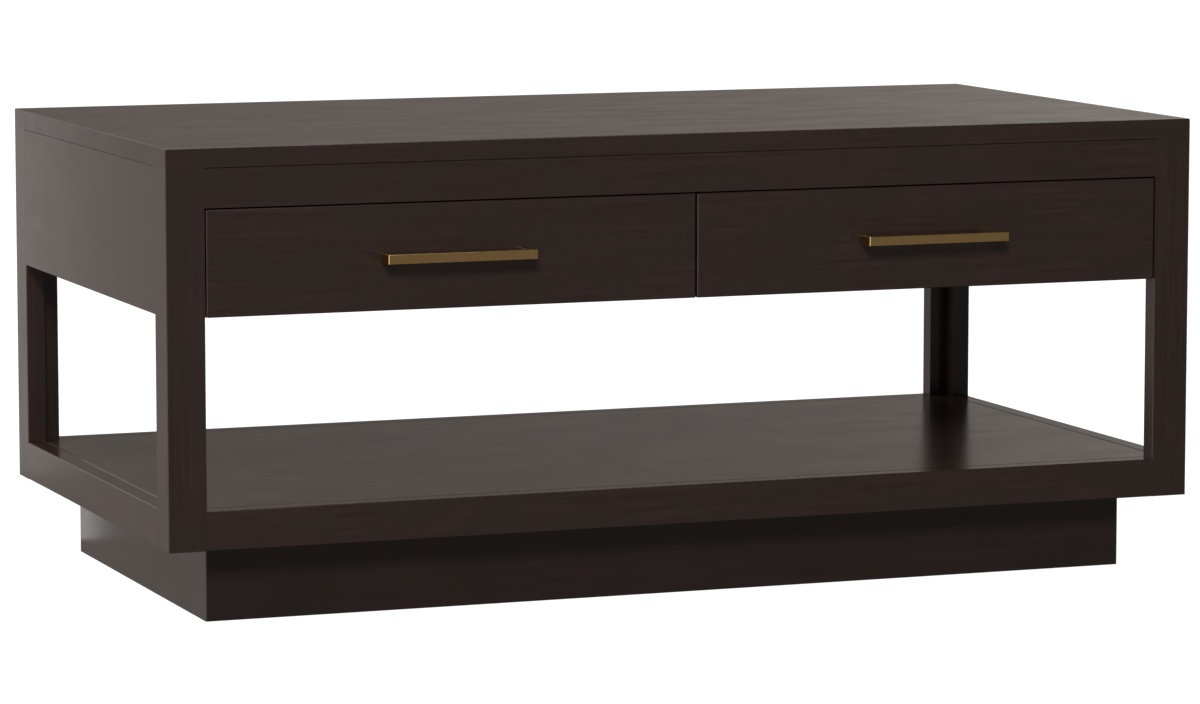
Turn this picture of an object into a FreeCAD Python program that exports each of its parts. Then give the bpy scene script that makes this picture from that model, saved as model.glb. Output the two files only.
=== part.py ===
import FreeCAD, Part
import itertools
import math
import os

V = FreeCAD.Vector

# Coffee table with two drawers over an open shelf, on a recessed plinth.
# Millimetres. X runs to the right, Y to the back, Z up from the floor.
# The origin is on the floor, in the middle of the width and of the depth with the pulls.

# Whole table
table_width = 1066.8
table_depth = 558.8
table_height = 457.2

# Boards of the case
board = 19.0
top_board = 19.0
shelf_board = 19.0
post_width = 38.0
top_rail_height = 38.0
base_rail_height = 38.0
eased_edge = 0.8
shelf_joint = 0.4
side_joint = 0.3
top_rail_joint = 0.6
divider_relief = 1.5
batten = 19.0
cleat_margin = 7.5

# Plinth, and the bearers by which the case stands on it
plinth_height = 76.2
plinth_setback = 50.8
bearer_lip = 5.0
corner_block = 30.0
block_floor_gap = 6.0

# Drawer fronts, inset flush with the posts
drawer_front_height = 101.6
front_gap = 1.5
centre_gap = 2.0
apron_lift = 1.0

# Drawer boxes
box_board = 12.0
box_top_drop = 12.0
box_bottom_lift = 9.6
box_overhang = 10.0
bottom_board = 6.0
bottom_lift = 9.0
groove_depth = 5.0
panel_play = 0.3
tails = 3
pin_width_share = 0.26
pin_slope = 1 / 6

# Pulls, square bars whose legs stand flush with the bar's ends
pull_length = 150.0
pull_bar = 9.5
pull_projection = 25.0
pull_inner_radius = 1.5
pull_edge = 0.5

# Full-extension slides: three steel members that run on caged balls
slide_step = 50.0
slide_setback = 2.0
back_room = 20.0
slide_height = 45.0
slide_metal = 1.2
slide_corner = 1.8
ball_diameter = 3.6
ball_play = 0.1
mouth_gap = 0.9
member_gap = 0.5
outer_member_setback = 0.8
tip_margin = 0.7
cage_metal = 0.6
cage_gap = 0.3
cage_rim = 0.4
cage_length_share = 0.44
window_play = 0.15
balls_per_row = 4
bumper_length = 6.0
bumper_height = 24.0
bumper_gap = 0.5
bumper_stud_diameter = 4.0

# Screws
screw_diameter = 4.0
screw_head = 8.0
screw_head_height = 2.4
screw_play = 0.05
screw_end_gap = 0.5
pull_screw_bite = 8.0
front_screw_bite = 13.0
top_screw_bite = 12.0
front_screw_inset = 40.0
front_screw_margin = 4.0
top_screw_shares = (0.15, 0.85)
slide_screw_diameter = 3.5
slide_screw_head = 6.4
slide_screw_bite = 8.0
case_screw_shares = (0.08, 0.5, 0.9)
box_screw_shares = (0.1, 0.9)
rod_sides = 12
slide_screw_sides = 8

# Cutting tools run past the faces that they cut by this much
overrun = 1.0

# Planes that several pieces share
half_width = table_width / 2
front_y = (pull_projection - table_depth) / 2
back_y = front_y + table_depth
inner_front_y = front_y + board
inner_back_y = back_y - board
top_z = table_height - top_board
top_rail_z = top_z - top_rail_height
shelf_z = plinth_height + base_rail_height
bearer_top_z = shelf_z - shelf_board
bearer_width = plinth_setback + bearer_lip

front_top_z = top_rail_z - front_gap
front_bottom_z = front_top_z - drawer_front_height
apron_z = front_bottom_z + apron_lift
pull_z = (front_top_z + front_bottom_z) / 2

# The slide's section, across from the case wall (u) and up from its middle (v)
ball_radius = ball_diameter / 2
cage_room = cage_metal + cage_gap * 2
middle_back_u = slide_metal + cage_room
inner_tip_u = middle_back_u + slide_metal + cage_room
inner_ball_u = inner_tip_u + tip_margin + ball_radius
middle_mouth_u = inner_ball_u + ball_radius + cage_rim + cage_gap + slide_metal
outer_mouth_u = middle_mouth_u - outer_member_setback
outer_ball_u = outer_mouth_u / 2
inner_web_u = middle_mouth_u + member_gap
slide_thickness = inner_web_u + slide_metal

outer_half = slide_height / 2
outer_ball_v = outer_half - slide_metal - ball_play - ball_radius
middle_half = outer_ball_v - ball_radius - ball_play
inner_ball_v = middle_half - slide_metal - ball_play - ball_radius
inner_half = inner_ball_v - ball_radius - ball_play

# The slide is the longest one, in steps of its maker's range, that fits the depth
slide_room = inner_back_y - inner_front_y - back_room - box_overhang
slide_length = slide_step * math.floor(slide_room / slide_step)
slide_y = inner_front_y + slide_setback
moving_length = slide_length - bumper_length - bumper_gap
cage_length = slide_length * cage_length_share
cleat_height = slide_height + cleat_margin * 2

# The drawer bays and the boxes in them
post_edge_x = half_width - post_width
divider_x = board / 2
bay_width = post_edge_x - divider_x
bay_centre_x = (post_edge_x + divider_x) / 2
front_outer_x = post_edge_x - front_gap
front_inner_x = centre_gap / 2
front_centre_x = (front_outer_x + front_inner_x) / 2
box_width = bay_width - slide_thickness * 2
box_depth = slide_length + box_overhang
box_z = front_bottom_z + box_bottom_lift
box_top_z = front_top_z - box_top_drop
box_height = box_top_z - box_z
box_y = inner_front_y
box_back_y = box_y + box_depth
slide_z = (box_z + box_top_z) / 2


def block(x0, x1, y0, y1, z0, z1):
    return Part.makeBox(x1 - x0, y1 - y0, z1 - z0, V(x0, y0, z0))


def eased(board_solid, lies_open):
    """Breaks the edges of a board that lie open, as a test of an edge tells, with a light chamfer."""
    return board_solid.makeChamfer(eased_edge, [edge for edge in board_solid.Edges if lies_open(edge)])


def eased_block(x0, x1, y0, y1, z0, z1):
    """A board whose edges are all broken."""
    return eased(block(x0, x1, y0, y1, z0, z1), lambda edge: True)


def eased_along_x(x0, x1, y0, y1, z0, z1):
    """A board that butts what stands at its two ends, so that only its long edges are broken."""
    return eased(block(x0, x1, y0, y1, z0, z1), lambda edge: edge.tangentAt(edge.FirstParameter).x != 0)


def eased_along_y(x0, x1, y0, y1, z0, z1):
    """The same for a board that runs from front to back."""
    return eased(block(x0, x1, y0, y1, z0, z1), lambda edge: edge.tangentAt(edge.FirstParameter).y != 0)


def face_of(points):
    return Part.Face(Part.makePolygon(points + points[:1]))


def upright(outline, z0, z1):
    """A prism that stands on an outline drawn in plan."""
    return face_of([V(x, y, z0) for x, y in outline]).extrude(V(0, 0, z1 - z0))


def crosswise(outline, x0, x1):
    """A prism that runs along X, with an outline drawn in side view."""
    return face_of([V(x0, y, z) for y, z in outline]).extrude(V(x1 - x0, 0, 0))


def ring_about(centre, direction, radius, sides_of_ring):
    """The corners of a regular polygon on a circle about an axis along X, Y or Z."""
    across = V(0, 1, 0) if direction.x else V(1, 0, 0)
    up = direction.cross(across)
    angles = [2 * math.pi * count / sides_of_ring for count in range(sides_of_ring)]
    return [centre + (across * math.cos(angle) + up * math.sin(angle)) * radius for angle in angles]


def rod(start, direction, length, radius, sides_of_rod=rod_sides):
    """A round rod, drawn with flat sides whose corners lie on its true radius."""
    return face_of(ring_about(start, direction, radius, sides_of_rod)).extrude(direction * length)


def tapered_rod(start, direction, length, start_radius, end_radius, sides_of_rod):
    """A cone cut off at both ends, drawn with flat sides."""
    near = ring_about(start, direction, start_radius, sides_of_rod)
    far = ring_about(start + direction * length, direction, end_radius, sides_of_rod)
    faces = [face_of(near), face_of(far)]
    for here in range(sides_of_rod):
        after = (here + 1) % sides_of_rod
        faces.append(face_of([near[here], near[after], far[after], far[here]]))
    return Part.makeSolid(Part.makeShell(faces))


def screw(seat, direction, shank_length):
    """A pan-head screw: the head stands back from its seat and the shank runs forward."""
    head_top = seat - direction * screw_head_height
    head = rod(head_top, direction, screw_head_height, screw_head / 2)
    shank = rod(head_top, direction, screw_head_height + shank_length, screw_diameter / 2)
    return head.fuse(shank).removeSplitter()


def screw_hole(seat, direction, shank_length):
    """The hole that a screw's shank fills, open at the seat and a little deeper than the shank."""
    start = seat - direction * overrun
    return rod(start, direction, overrun + shank_length + screw_end_gap, screw_diameter / 2 + screw_play)


def bored(solid, holes):
    for hole in holes:
        solid = solid.cut(hole)
    return solid


def save(node, *solids):
    shape = solids[0] if len(solids) == 1 else Part.makeCompound(list(solids))
    shape.exportStep("parts/" + node + ".step")


def sides():
    """The two sides of the table by name, with the sign of their X."""
    return (("left", -1), ("right", 1))


def ends():
    """The front and the back by name, with their outer face and the way from it into the table."""
    return (("front", front_y, 1), ("back", back_y, -1))


def mirrored_span(sign, near_x, far_x):
    """The lowest and highest X of a span that lies from near_x to far_x on one side of the middle."""
    return sorted((sign * near_x, sign * far_x))


# Case

def top_screw_seats():
    """Where the screws enter the battens from below, two to each of the four battens."""
    seats = []
    seat_z = top_z - batten
    side_x = half_width - board - batten / 2
    back_batten_y = inner_back_y - batten / 2
    back_batten_length = half_width - board - batten - divider_x
    for _, sign in sides():
        for share in top_screw_shares:
            seats.append(V(sign * side_x, inner_front_y + (inner_back_y - inner_front_y) * share, seat_z))
            seats.append(V(sign * (divider_x + back_batten_length * share), back_batten_y, seat_z))
    return seats


def top_screw_holes():
    return [screw_hole(seat, V(0, 0, 1), batten + top_screw_bite) for seat in top_screw_seats()]


def make_top():
    """The top: its lower edges stay sharp where it meets the case."""
    slab = block(-half_width, half_width, front_y, back_y, top_z, table_height)
    slab = eased(slab, lambda edge: edge.CenterOfMass.z > top_z + eased_edge)
    save("top_panel", bored(slab, top_screw_holes()))


def make_top_battens():
    """Square battens in the angle between the aprons and the top, which the top's screws pass through."""
    battens = []
    for _, sign in sides():
        low_x, high_x = mirrored_span(sign, half_width - board - batten, half_width - board)
        battens.append(block(low_x, high_x, inner_front_y, inner_back_y, top_z - batten, top_z))
        low_x, high_x = mirrored_span(sign, divider_x, half_width - board - batten)
        battens.append(block(low_x, high_x, inner_back_y - batten, inner_back_y, top_z - batten, top_z))
    holes = top_screw_holes()
    save("top_battens", *[bored(one, holes) for one in battens])


def make_top_screws():
    screws = [screw(seat, V(0, 0, 1), batten + top_screw_bite) for seat in top_screw_seats()]
    save("top_screws", *screws)


def post_board(placed, open_top_z):
    """Half of a corner post, mitred at the corner, its inner edge broken only where nothing butts it."""
    arris = eased_edge / 2
    plan = [(arris, arris), (eased_edge, 0), (post_width, 0), (post_width, board), (board, board)]
    inner_arris = [(post_width, 0), (post_width - eased_edge, 0), (post_width, eased_edge)]
    solid = upright([placed(a, b) for a, b in plan], plinth_height, top_z)
    return solid.cut(upright([placed(a, b) for a, b in inner_arris], shelf_z, open_top_z))


def make_posts():
    """Each post is two mitred boards glued into an L, and runs from the plinth to the top."""
    for end, outer_y, inward in ends():
        for side, sign in sides():
            outer_x = sign * half_width
            face_top_z = front_bottom_z if end == "front" else apron_z
            face = post_board(lambda a, b: (outer_x - sign * a, outer_y + inward * b), face_top_z)
            flank = post_board(lambda a, b: (outer_x - sign * b, outer_y + inward * a), apron_z)
            save(end + "_" + side + "_post", face, flank)


def side_board_span():
    """The lowest and highest Y of a side apron or rail, a hairline short of the posts."""
    return front_y + post_width + side_joint, back_y - post_width - side_joint


def make_aprons():
    """The side aprons and the back apron close the drawer bays between the posts."""
    low_y, high_y = side_board_span()
    for side, sign in sides():
        low_x, high_x = mirrored_span(sign, half_width - board, half_width)
        save(side + "_apron", eased_along_y(low_x, high_x, low_y, high_y, apron_z, top_z))
    save("back_apron", eased_along_x(-post_edge_x, post_edge_x, inner_back_y, back_y, apron_z, top_z))


def make_front_top_rail():
    """The rail over the drawers, held by the posts, with a fine dark joint between it and the top."""
    high_z = top_z - top_rail_joint
    save("front_top_rail", block(-post_edge_x, post_edge_x, front_y, inner_front_y, top_rail_z, high_z))


def make_divider():
    """The upright between the bays: its front edge butts the top rail and clears the drawer fronts."""
    relief_y = inner_front_y + divider_relief
    outline = [
        (relief_y, apron_z), (inner_back_y, apron_z), (inner_back_y, top_z),
        (inner_front_y, top_z), (inner_front_y, top_rail_z), (relief_y, top_rail_z),
    ]
    divider = crosswise(outline, -divider_x, divider_x)
    save("centre_divider", bored(divider, case_pilot_holes()))


def make_slide_cleats():
    """The cleats bring the slides out from the aprons to the posts' edges."""
    low_z = slide_z - cleat_height / 2
    high_z = slide_z + cleat_height / 2
    for side, sign in sides():
        low_x, high_x = mirrored_span(sign, post_edge_x, half_width - board)
        cleat = block(low_x, high_x, inner_front_y, inner_back_y, low_z, high_z)
        save(side + "_slide_cleat", bored(cleat, case_pilot_holes()))


def make_base_rails():
    """Four rails frame the shelf, flush with its upper face."""
    for end, outer_y, inward in ends():
        low_y, high_y = sorted((outer_y, outer_y + inward * board))
        rail = eased_along_x(-post_edge_x, post_edge_x, low_y, high_y, plinth_height, shelf_z)
        save(end + "_base_rail", rail)
    low_y, high_y = side_board_span()
    for side, sign in sides():
        low_x, high_x = mirrored_span(sign, half_width - board, half_width)
        save(side + "_base_rail", eased_along_y(low_x, high_x, low_y, high_y, plinth_height, shelf_z))


def make_shelf():
    edge_x = half_width - board - shelf_joint
    front = inner_front_y + shelf_joint
    back = inner_back_y - shelf_joint
    save("shelf_panel", eased_block(-edge_x, edge_x, front, back, bearer_top_z, shelf_z))


def make_bearers():
    """Flat bearers inside the base rails: the shelf lies on them, and they stand on the plinth."""
    inner_x = half_width - board
    for end, outer_y, inward in ends():
        rail_y = outer_y + inward * board
        low_y, high_y = sorted((rail_y, rail_y + inward * bearer_width))
        save(end + "_bearer", block(-inner_x, inner_x, low_y, high_y, plinth_height, bearer_top_z))
    for side, sign in sides():
        low_x, high_x = mirrored_span(sign, inner_x - bearer_width, inner_x)
        low_y = inner_front_y + bearer_width
        high_y = inner_back_y - bearer_width
        save(side + "_bearer", block(low_x, high_x, low_y, high_y, plinth_height, bearer_top_z))


# Plinth

def mitred_plinth_board(length):
    """A plinth board in plan, centred on its length, with mitred ends and eased outer corners."""
    half = length / 2
    arris = eased_edge / 2
    left = [(board - half, board), (arris - half, arris), (eased_edge - half, 0)]
    right = [(-a, b) for a, b in reversed(left)]
    return left + right


def make_plinth():
    for end, outer_y, inward in ends():
        plan = mitred_plinth_board(table_width - plinth_setback * 2)
        placed = [(a, outer_y + inward * (plinth_setback + b)) for a, b in plan]
        save("plinth_" + end, upright(placed, 0, plinth_height))
    middle_y = (front_y + back_y) / 2
    for side, sign in sides():
        plan = mitred_plinth_board(table_depth - plinth_setback * 2)
        placed = [(sign * (half_width - plinth_setback - b), middle_y + a) for a, b in plan]
        save("plinth_" + side, upright(placed, 0, plinth_height))


def make_plinth_blocks():
    """Square glue blocks stiffen the plinth's four corners."""
    blocks = []
    corner = plinth_setback + board
    for _, outer_y, inward in ends():
        for _, sign in sides():
            low_x, high_x = mirrored_span(sign, half_width - corner - corner_block, half_width - corner)
            block_y = outer_y + inward * corner
            low_y, high_y = sorted((block_y, block_y + inward * corner_block))
            blocks.append(block(low_x, high_x, low_y, high_y, block_floor_gap, plinth_height))
    save("plinth_corner_blocks", *blocks)


# Drawers

def dovetail_pins(end_y, shoulder_y, low_x, high_x):
    """The pins of one corner, wider at the shoulder than at the drawer's end, half pins top and bottom."""
    pitch = box_height / tails
    end_half = pitch * pin_width_share / 2
    shoulder_half = end_half + abs(shoulder_y - end_y) * pin_slope
    pins = []
    for count in range(tails + 1):
        middle = box_z + pitch * count
        corners = [
            (end_y, middle - end_half), (end_y, middle + end_half),
            (shoulder_y, middle + shoulder_half), (shoulder_y, middle - shoulder_half),
        ]
        within = [(y, min(max(z, box_z), box_top_z)) for y, z in corners]
        pins.append(crosswise(within, low_x, high_x))
    return pins


def box_corners(centre_x):
    """For each end of a box: its name, its outer face, its shoulder, and the pins at both sides."""
    outer = box_width / 2
    inner = outer - box_board
    found = []
    for end, end_y, inward in (("inner_front", box_y, 1), ("back", box_back_y, -1)):
        shoulder_y = end_y + inward * box_board
        pins = dovetail_pins(end_y, shoulder_y, centre_x - outer, centre_x - inner)
        pins += dovetail_pins(end_y, shoulder_y, centre_x + inner, centre_x + outer)
        found.append((end, end_y, shoulder_y, pins))
    return found


def bottom_space(centre_x, play):
    """The room of the drawer's bottom, in grooves all round, less some play at its edges."""
    half = box_width / 2 - box_board + groove_depth - play
    near = box_y + box_board - groove_depth + play
    far = box_back_y - box_board + groove_depth - play
    low_z = box_z + bottom_lift
    return block(centre_x - half, centre_x + half, near, far, low_z, low_z + bottom_board)


def box_end(centre_x, end_y, shoulder_y, pins):
    """The box's inner front or back: a board between the sides, with its pins."""
    half = box_width / 2 - box_board
    low_y, high_y = sorted((end_y, shoulder_y))
    shape = block(centre_x - half, centre_x + half, low_y, high_y, box_z, box_top_z)
    shape = shape.fuse(pins).removeSplitter()
    return shape.cut(bottom_space(centre_x, 0))


def box_side(centre_x, sign, pins):
    """A box side: the wood that the pins leave makes its tails."""
    outer_x = centre_x + sign * box_width / 2
    low_x, high_x = sorted((outer_x, outer_x - sign * box_board))
    shape = block(low_x, high_x, box_y, box_back_y, box_z, box_top_z)
    return bored(shape, pins + [bottom_space(centre_x, 0)])


def pull_screw_seats(centre_x):
    """On the back of the inner front, behind the two legs of the pull."""
    reach = (pull_length - pull_bar) / 2
    return [V(centre_x + sign * reach, inner_front_y + box_board, pull_z) for _, sign in sides()]


def front_screw_seats(centre_x):
    """Four screws, near the inner front's corners, draw the drawer front on."""
    reach = box_width / 2 - box_board - front_screw_inset
    rear_y = inner_front_y + box_board
    edge = screw_head / 2 + front_screw_margin
    heights = (box_z + bottom_lift + bottom_board + edge, box_top_z - edge)
    return [V(centre_x + sign * reach, rear_y, z) for _, sign in sides() for z in heights]


def drawer_screw_holes(box_centre_x, front_centre):
    forward = V(0, -1, 0)
    pull_length_in = box_board + board + pull_screw_bite
    front_length_in = box_board + front_screw_bite
    holes = [screw_hole(seat, forward, pull_length_in) for seat in pull_screw_seats(front_centre)]
    holes += [screw_hole(seat, forward, front_length_in) for seat in front_screw_seats(box_centre_x)]
    return holes


def pull(centre_x):
    """A square bar bent square into two legs, softened inside the bends and on every edge."""
    half = pull_length / 2
    bar_y = front_y - pull_projection
    plan = [
        (-half, front_y), (-half, bar_y), (half, bar_y), (half, front_y),
        (half - pull_bar, front_y), (half - pull_bar, bar_y + pull_bar),
        (pull_bar - half, bar_y + pull_bar), (pull_bar - half, front_y),
    ]
    low_z = pull_z - pull_bar / 2
    shape = upright([(centre_x + a, y) for a, y in plan], low_z, low_z + pull_bar)
    bends = [edge for edge in shape.Edges if is_inner_bend(edge, bar_y + pull_bar)]
    shape = shape.makeFillet(pull_inner_radius, bends)
    return shape.makeChamfer(pull_edge, shape.Edges)


def is_inner_bend(edge, bend_y):
    """True for an upright edge that lies on the bar's inner face."""
    upright_edge = edge.tangentAt(edge.FirstParameter).x == 0
    return upright_edge and all(math.isclose(vertex.Point.y, bend_y) for vertex in edge.Vertexes)


def make_drawer(side, sign):
    name = side + "_drawer_"
    box_centre = sign * bay_centre_x
    front_centre = sign * front_centre_x
    forward = V(0, -1, 0)
    holes = drawer_screw_holes(box_centre, front_centre)

    low_x, high_x = mirrored_span(sign, front_inner_x, front_outer_x)
    front = eased_block(low_x, high_x, front_y, inner_front_y, front_bottom_z, front_top_z)
    save(name + "front", bored(front, holes))

    all_pins = []
    for end, end_y, shoulder_y, pins in box_corners(box_centre):
        save(name + end, bored(box_end(box_centre, end_y, shoulder_y, pins), holes))
        all_pins += pins
    pilot_holes = [pilot_hole(*place) for place in box_screw_places(sign)]
    for hand, way in sides():
        save(name + hand + "_side", bored(box_side(box_centre, way, all_pins), pilot_holes))
    save(name + "bottom", bottom_space(box_centre, panel_play))

    save(name + "pull", bored(pull(front_centre), holes))
    reach = box_board + board + pull_screw_bite
    save(name + "pull_screws", *[screw(seat, forward, reach) for seat in pull_screw_seats(front_centre)])
    reach = box_board + front_screw_bite
    save(name + "front_screws", *[screw(seat, forward, reach) for seat in front_screw_seats(box_centre)])


# Slides

def lipped_channel(back_u, mouth_u, half_height, mouth_half):
    """A channel open towards the drawer, its flanges turned in at the mouth to hold a row of balls each."""
    inner_corner = slide_corner - slide_metal * (2 - math.sqrt(2))
    inside_u = back_u + slide_metal
    lip_u = mouth_u - slide_metal
    inside = half_height - slide_metal
    upper = [
        (mouth_u, mouth_half), (mouth_u, half_height - slide_corner), (mouth_u - slide_corner, half_height),
        (back_u + slide_corner, half_height), (back_u, half_height - slide_corner),
    ]
    upper_inside = [
        (inside_u, inside - inner_corner), (inside_u + inner_corner, inside),
        (lip_u - inner_corner, inside), (lip_u, inside - inner_corner), (lip_u, mouth_half),
    ]
    lower = [(u, -v) for u, v in reversed(upper)]
    lower_inside = [(u, -v) for u, v in reversed(upper_inside)]
    return upper + lower + lower_inside + upper_inside


def plain_channel(tip_u, web_u, half_height, metal, corner):
    """A channel with straight flanges, from their tips at tip_u to the web's outer face at web_u."""
    way = math.copysign(1, web_u - tip_u)
    inner_corner = corner - metal * (2 - math.sqrt(2))
    inside_u = web_u - way * metal
    inside = half_height - metal
    upper = [
        (tip_u, inside), (tip_u, half_height),
        (web_u - way * corner, half_height), (web_u, half_height - corner),
    ]
    upper_inside = [(inside_u, inside - inner_corner), (inside_u - way * inner_corner, inside)]
    lower = [(u, -v) for u, v in reversed(upper)]
    lower_inside = [(u, -v) for u, v in reversed(upper_inside)]
    return upper + lower + lower_inside + upper_inside


def along_slide(outline, wall_x, facing, start_y, length):
    """Runs a section along the drawer's travel, set off from a case wall that faces the drawer."""
    points = [V(wall_x + facing * u, start_y, slide_z + v) for u, v in outline]
    return face_of(points).extrude(V(0, length, 0))


def ball_at(centre):
    """A ball of twenty flat faces, with its corners on the true sphere."""
    golden = (1 + math.sqrt(5)) / 2
    corners = []
    for a in (-1, 1):
        for b in (-golden, golden):
            corners += [V(0, a, b), V(a, b, 0), V(b, 0, a)]
    radius = corners[0].Length
    triples = [
        trio for trio in itertools.combinations(corners, 3)
        if all(math.isclose((one - other).Length, 2) for one, other in itertools.combinations(trio, 2))
    ]
    scale = ball_radius / radius
    faces = [face_of([centre + corner * scale for corner in triple]) for triple in triples]
    return Part.makeSolid(Part.makeShell(faces))


def slide_walls(sign):
    """The walls of a drawer's two slides, at the cleat and at the divider, each with the way to the box."""
    return ((sign * post_edge_x, -sign), (sign * divider_x, sign))


def case_screw_places(sign):
    """The screws that hold a drawer's case members: their seats in the slides, and the way into the wall."""
    return [
        (V(wall_x + facing * slide_metal, slide_y + slide_length * share, slide_z), V(-facing, 0, 0))
        for wall_x, facing in slide_walls(sign) for share in case_screw_shares
    ]


def box_screw_places(sign):
    """The screws that hold the box members: their seats in the slides, and the way into the box."""
    seat_u = slide_thickness - slide_metal
    return [
        (V(wall_x + facing * seat_u, slide_y + moving_length * share, slide_z), V(facing, 0, 0))
        for wall_x, facing in slide_walls(sign) for share in box_screw_shares
    ]


def countersunk_screw(seat, direction):
    """A wood screw whose tapered head fills the slide's metal, flush with the face at its seat."""
    neck = seat + direction * slide_metal
    head = slide_screw_head / 2
    shank = slide_screw_diameter / 2
    cone = tapered_rod(seat, direction, slide_metal, head, shank, slide_screw_sides)
    return cone.fuse(rod(neck, direction, slide_screw_bite, shank, slide_screw_sides)).removeSplitter()


def countersunk_hole(seat, direction):
    """The tapered hole in the slide's metal that a screw's head fills."""
    head = slide_screw_head / 2
    shank = slide_screw_diameter / 2
    spread = (head - shank) * overrun / slide_metal
    start = seat - direction * overrun
    length = slide_metal + overrun * 2
    return tapered_rod(start, direction, length, head + spread, shank - spread, slide_screw_sides)


def pilot_hole(seat, direction):
    """The hole in the wood behind the slide, a little deeper than the screw."""
    start = seat + direction * (slide_metal - overrun)
    depth = overrun + slide_screw_bite + screw_end_gap
    return rod(start, direction, depth, slide_screw_diameter / 2 + screw_play, slide_screw_sides)


def case_pilot_holes():
    return [pilot_hole(*place) for _, sign in sides() for place in case_screw_places(sign)]


def bumper_stud(wall_x, facing, extra):
    """The stud that snaps a bumper into the web of its case member, longer at both ends to cut its hole."""
    start = V(wall_x - facing * extra, slide_y + slide_length - bumper_length / 2, slide_z)
    return rod(start, V(facing, 0, 0), slide_metal + extra * 2, bumper_stud_diameter / 2, slide_screw_sides)


def bumper(wall_x, facing):
    """A rubber block across the rear of a case member, which the two moving members come up against."""
    low_x, high_x = sorted((wall_x + facing * slide_metal, wall_x + facing * (outer_mouth_u - slide_metal)))
    rear_y = slide_y + slide_length
    low_z = slide_z - bumper_height / 2
    body = eased_block(low_x, high_x, rear_y - bumper_length, rear_y, low_z, low_z + bumper_height)
    return body.fuse(bumper_stud(wall_x, facing, 0)).removeSplitter()


def make_slide_fittings():
    """What the case holds besides the slides' members: their screws and their bumpers."""
    screws = []
    bumpers = []
    for _, sign in sides():
        screws += [countersunk_screw(*place) for place in case_screw_places(sign)]
        bumpers += [bumper(*wall) for wall in slide_walls(sign)]
    save("case_slide_screws", *screws)
    save("slide_bumpers", *bumpers)


def cage_with_balls(tip_u, back_u, ball_u, ball_v, wall_x, facing):
    """A thin channel that keeps an upper and a lower row of balls apart, each ball loose in its window."""
    start_y = slide_y + (slide_length - cage_length) / 2
    outline = plain_channel(tip_u, back_u, ball_v + cage_metal / 2, cage_metal, cage_metal)
    cage = along_slide(outline, wall_x, facing, start_y, cage_length)
    pitch = cage_length / balls_per_row
    half_window = ball_radius + window_play
    balls = []
    for row in (-1, 1):
        for count in range(balls_per_row):
            centre = V(wall_x + facing * ball_u, start_y + pitch * (count + 1 / 2), slide_z + row * ball_v)
            balls.append(ball_at(centre))
            cage = cage.cut(
                block(
                    centre.x - half_window, centre.x + half_window,
                    centre.y - half_window, centre.y + half_window,
                    centre.z - cage_metal, centre.z + cage_metal,
                )
            )
    return [cage] + balls


def make_slides(side, sign):
    """The pair of slides of one drawer: one on the cleat, one on the divider."""
    name = side + "_drawer_"
    middle_mouth = inner_half + mouth_gap
    outer_mouth = middle_half + mouth_gap
    outer = lipped_channel(0, outer_mouth_u, outer_half, outer_mouth)
    middle = lipped_channel(middle_back_u, middle_mouth_u, middle_half, middle_mouth)
    inner = plain_channel(inner_tip_u, slide_thickness, inner_half, slide_metal, slide_corner)
    case_holes = [countersunk_hole(*place) for place in case_screw_places(sign)]
    case_holes += [bumper_stud(*wall, overrun) for wall in slide_walls(sign)]
    box_holes = [countersunk_hole(*place) for place in box_screw_places(sign)]
    outer_back = slide_metal + cage_gap
    outer_tip = outer_ball_u + ball_radius + cage_rim
    inner_back = middle_back_u + slide_metal + cage_gap
    inner_tip = inner_ball_u + ball_radius + cage_rim
    kinds = ("case_members", "middle_members", "box_members", "outer_cages", "inner_cages")
    pieces = {kind: [] for kind in kinds}
    for wall in slide_walls(sign):
        case_member = along_slide(outer, *wall, slide_y, slide_length)
        box_member = along_slide(inner, *wall, slide_y, moving_length)
        pieces["case_members"].append(bored(case_member, case_holes))
        pieces["middle_members"].append(along_slide(middle, *wall, slide_y, moving_length))
        pieces["box_members"].append(bored(box_member, box_holes))
        pieces["outer_cages"] += cage_with_balls(outer_tip, outer_back, outer_ball_u, outer_ball_v, *wall)
        pieces["inner_cages"] += cage_with_balls(inner_tip, inner_back, inner_ball_u, inner_ball_v, *wall)
    for kind, solids in pieces.items():
        save(name + kind, *solids)
    save(name + "slide_screws", *[countersunk_screw(*place) for place in box_screw_places(sign)])


os.makedirs("parts", exist_ok=True)
make_top()
make_top_battens()
make_top_screws()
make_posts()
make_aprons()
make_front_top_rail()
make_divider()
make_slide_cleats()
make_base_rails()
make_shelf()
make_bearers()
make_plinth()
make_plinth_blocks()
make_slide_fittings()
for side, sign in sides():
    make_drawer(side, sign)
    make_slides(side, sign)
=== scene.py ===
import math

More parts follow.
